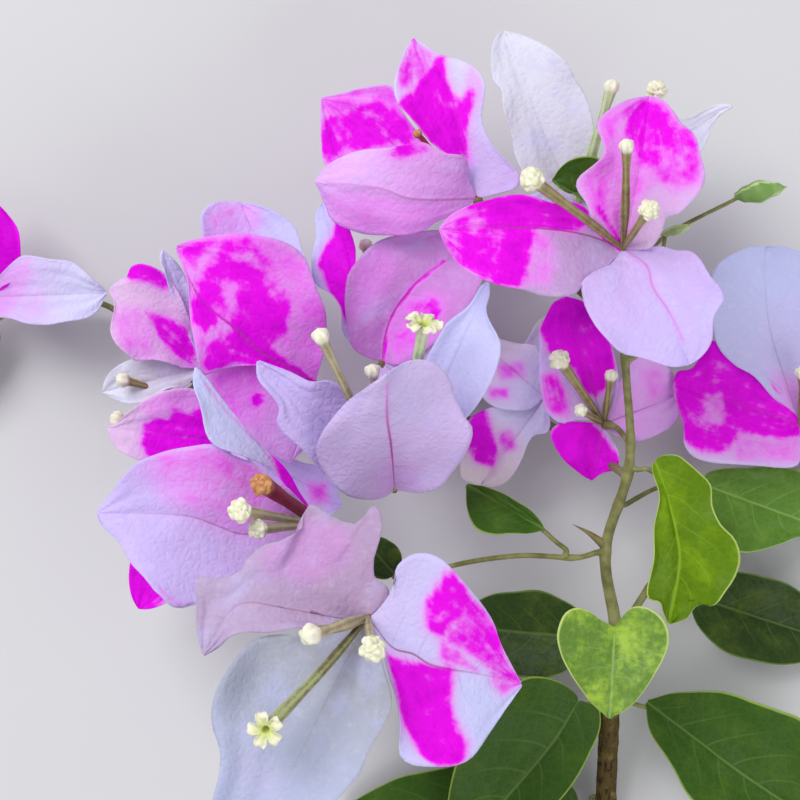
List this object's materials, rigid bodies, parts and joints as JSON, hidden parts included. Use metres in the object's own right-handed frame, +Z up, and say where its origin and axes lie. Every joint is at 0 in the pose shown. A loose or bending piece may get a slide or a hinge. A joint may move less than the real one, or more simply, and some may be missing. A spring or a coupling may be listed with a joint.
{
  "type": "bougainvillea flowering branch",
  "caption": "Cut flowering spray of bougainvillea: a branching stem with papery three-bract blooms, slim tube flowers and green leaves, lying on its back.",
  "frame": {"origin": "middle of the footprint, on the surface that the spray lies on", "axes": "+Z up, out of the blooms' faces; +Y from the cut end towards the crown; +X across the spray"},
  "size_m": [0.1936, 0.156, 0.0699],
  "materials": {
    "bark": "rough brown bark, olive green higher up",
    "green_stem": "smooth olive green young wood",
    "bract": "thin papery lavender white with magenta blotches, satin",
    "leaf": "satin green with pale veins",
    "bud": "pale green, satin"
  },
  "bodies": {
    "root": {"main_stem": "bark", "bough_lower": "green_stem", "bough_middle": "green_stem", "bough_far": "green_stem", "bough_crown": "green_stem", "bough_right": "green_stem", "bloom_crown_front": "bract", "bloom_crown_white": "bract", "bloom_crown_left": "bract", "bloom_heart_back": "bract", "bloom_heart_front": "bract", "bloom_left_magenta": "bract", "bloom_lower_left": "bract", "bloom_front": "bract", "bloom_left_pink": "bract", "bloom_left_low": "bract", "bloom_far_left": "bract", "bloom_back_cream": "bract", "bloom_behind_stem": "bract", "bloom_right": "bract", "leaf_heart": "leaf", "leaf_bright": "leaf", "leaf_right_back": "leaf", "leaf_right_low": "leaf", "leaf_foot_right": "leaf", "leaf_foot_left": "leaf", "leaf_back_left": "leaf", "leaf_foot_low": "leaf", "leaf_bough_lower": "leaf", "leaf_small_dark": "leaf", "leaf_crown": "leaf", "leaf_far_left": "leaf", "shoot_long": "bud", "shoot_short": "bud"}
  },
  "joints": []
}
